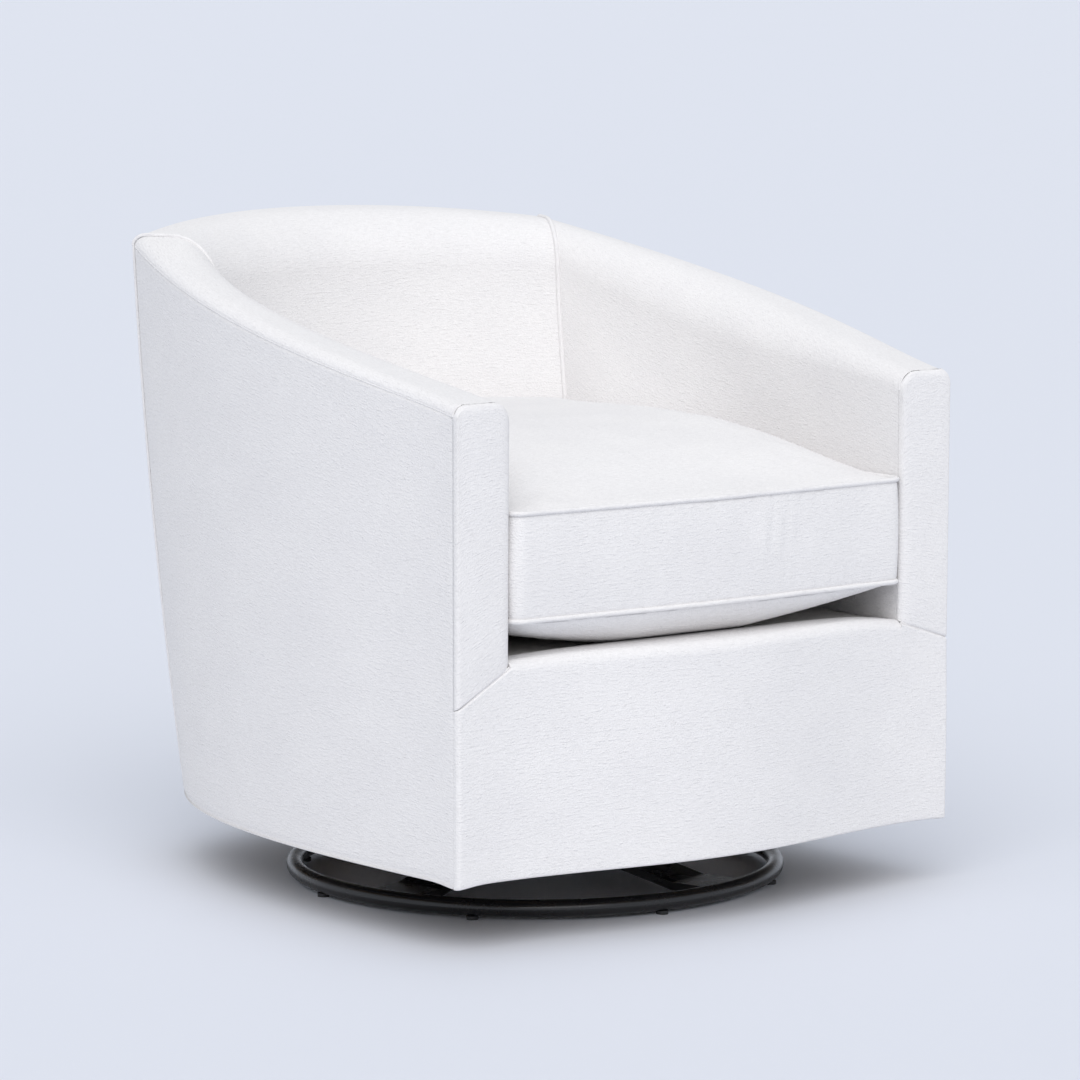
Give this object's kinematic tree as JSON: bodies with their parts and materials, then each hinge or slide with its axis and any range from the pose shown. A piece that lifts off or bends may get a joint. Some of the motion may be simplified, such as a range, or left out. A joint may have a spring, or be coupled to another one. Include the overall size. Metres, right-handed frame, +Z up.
{
  "type": "swivel glider chair",
  "caption": "Upholstered tub chair with a loose seat cushion that swivels on a round steel base and glides on hanging links.",
  "frame": {"origin": "on the floor, halfway between the front of the bowed front rail and the back edge, on the plane of symmetry of the body", "axes": "+X to the right-hand arm as seen from the front, +Y towards the back of the chair, +Z up"},
  "size_m": [0.7264, 0.816, 0.727],
  "materials": {
    "ivory_weave": "slubbed plain weave",
    "foam": "cut foam",
    "lining_cloth": "nonwoven",
    "frame_wood": "raw sawn",
    "black_coat": "satin powder coat",
    "dark_plate": "satin",
    "zinc_steel": "zinc plated",
    "bright_steel": "ground",
    "bumper_rubber": "matte",
    "glide_plastic": "matte",
    "zipper_plastic": "matte"
  },
  "bodies": {
    "base": {"base_ring": "black_coat", "base_arm_long": "black_coat", "base_arm_halves": "black_coat", "floor_glides": "glide_plastic", "lower_race": "zinc_steel", "pivot_bolt": "zinc_steel", "pivot_nut": "zinc_steel", "bearing_balls": "bright_steel", "ball_cage": "glide_plastic"},
    "swivel_frame": {"upper_race": "zinc_steel", "swivel_plate": "dark_plate", "hanger_plates": "dark_plate", "upper_pivot_pins": "bright_steel", "stop_bumpers": "bumper_rubber"},
    "front_left_link": {"link_front_left": "zinc_steel"},
    "front_right_link": {"link_front_right": "zinc_steel"},
    "rear_left_link": {"link_rear_left": "zinc_steel"},
    "rear_right_link": {"link_rear_right": "zinc_steel"},
    "chair_body": {"seat_mount_left": "dark_plate", "seat_mount_right": "dark_plate", "lower_pivot_pins": "bright_steel", "mount_screws": "zinc_steel", "mount_boards": "frame_wood", "arm_posts": "frame_wood", "front_seat_rail": "frame_wood", "front_base_rail": "frame_wood", "side_seat_rails": "frame_wood", "side_base_rails": "frame_wood", "back_seat_rail": "frame_wood", "back_base_rail": "frame_wood", "back_tack_rail": "frame_wood", "back_posts": "frame_wood", "arm_top_rails": "frame_wood", "back_top_rail": "frame_wood", "seat_springs": "zinc_steel", "spring_clips": "zinc_steel", "deck_pad": "foam", "deck_cloth": "lining_cloth", "back_webbing": "lining_cloth", "dust_cover": "lining_cloth", "left_arm_foam": "foam", "right_arm_foam": "foam", "back_foam": "foam", "front_edge_foam": "foam", "outside_left_cover": "ivory_weave", "outside_right_cover": "ivory_weave", "outside_back_cover": "ivory_weave", "inside_left_cover": "ivory_weave", "inside_right_cover": "ivory_weave", "inside_back_cover": "ivory_weave", "left_arm_facing": "ivory_weave", "right_arm_facing": "ivory_weave", "front_rail_cover": "ivory_weave", "back_seam_welts": "ivory_weave"},
    "seat_cushion": {"cushion_core": "foam", "cushion_top_panel": "ivory_weave", "cushion_bottom_panel": "ivory_weave", "cushion_boxing": "ivory_weave", "cushion_welts": "ivory_weave", "cushion_zipper": "zipper_plastic"}
  },
  "joints": [
    {"name": "swivel", "type": "hinge", "parent": "base", "child": "swivel_frame", "pos_m": [0, -0.06, 0.054], "axis": [0, 0, 1], "continuous": true},
    {"name": "glide_front_left", "type": "hinge", "parent": "swivel_frame", "child": "front_left_link", "pos_m": [-0.1324, -0.17, 0.18], "axis": [1, 0, 0], "range_deg": [-28, 28]},
    {"name": "glide_front_right", "type": "hinge", "parent": "swivel_frame", "child": "front_right_link", "pos_m": [0.1324, -0.17, 0.18], "axis": [1, 0, 0], "range_deg": [-28, 28]},
    {"name": "glide_rear_left", "type": "hinge", "parent": "swivel_frame", "child": "rear_left_link", "pos_m": [-0.1324, 0.05, 0.18], "axis": [1, 0, 0], "range_deg": [-28, 28]},
    {"name": "glide_rear_right", "type": "hinge", "parent": "swivel_frame", "child": "rear_right_link", "pos_m": [0.1324, 0.05, 0.18], "axis": [1, 0, 0], "range_deg": [-28, 28]},
    {"name": "body_level", "type": "hinge", "parent": "front_left_link", "child": "chair_body", "pos_m": [-0.1324, -0.17, 0.088], "axis": [1, 0, 0], "range_deg": [-28, 28]},
    {"name": "cushion_lift", "type": "slide", "parent": "chair_body", "child": "seat_cushion", "axis": [0, 0, 1], "range_m": [0, 0.46]}
  ],
  "couplings": [
    {"joint": "glide_front_right", "follows": "glide_front_left", "ratio": 1},
    {"joint": "glide_rear_left", "follows": "glide_front_left", "ratio": 1},
    {"joint": "glide_rear_right", "follows": "glide_front_left", "ratio": 1},
    {"joint": "body_level", "follows": "glide_front_left", "ratio": -1}
  ]
}
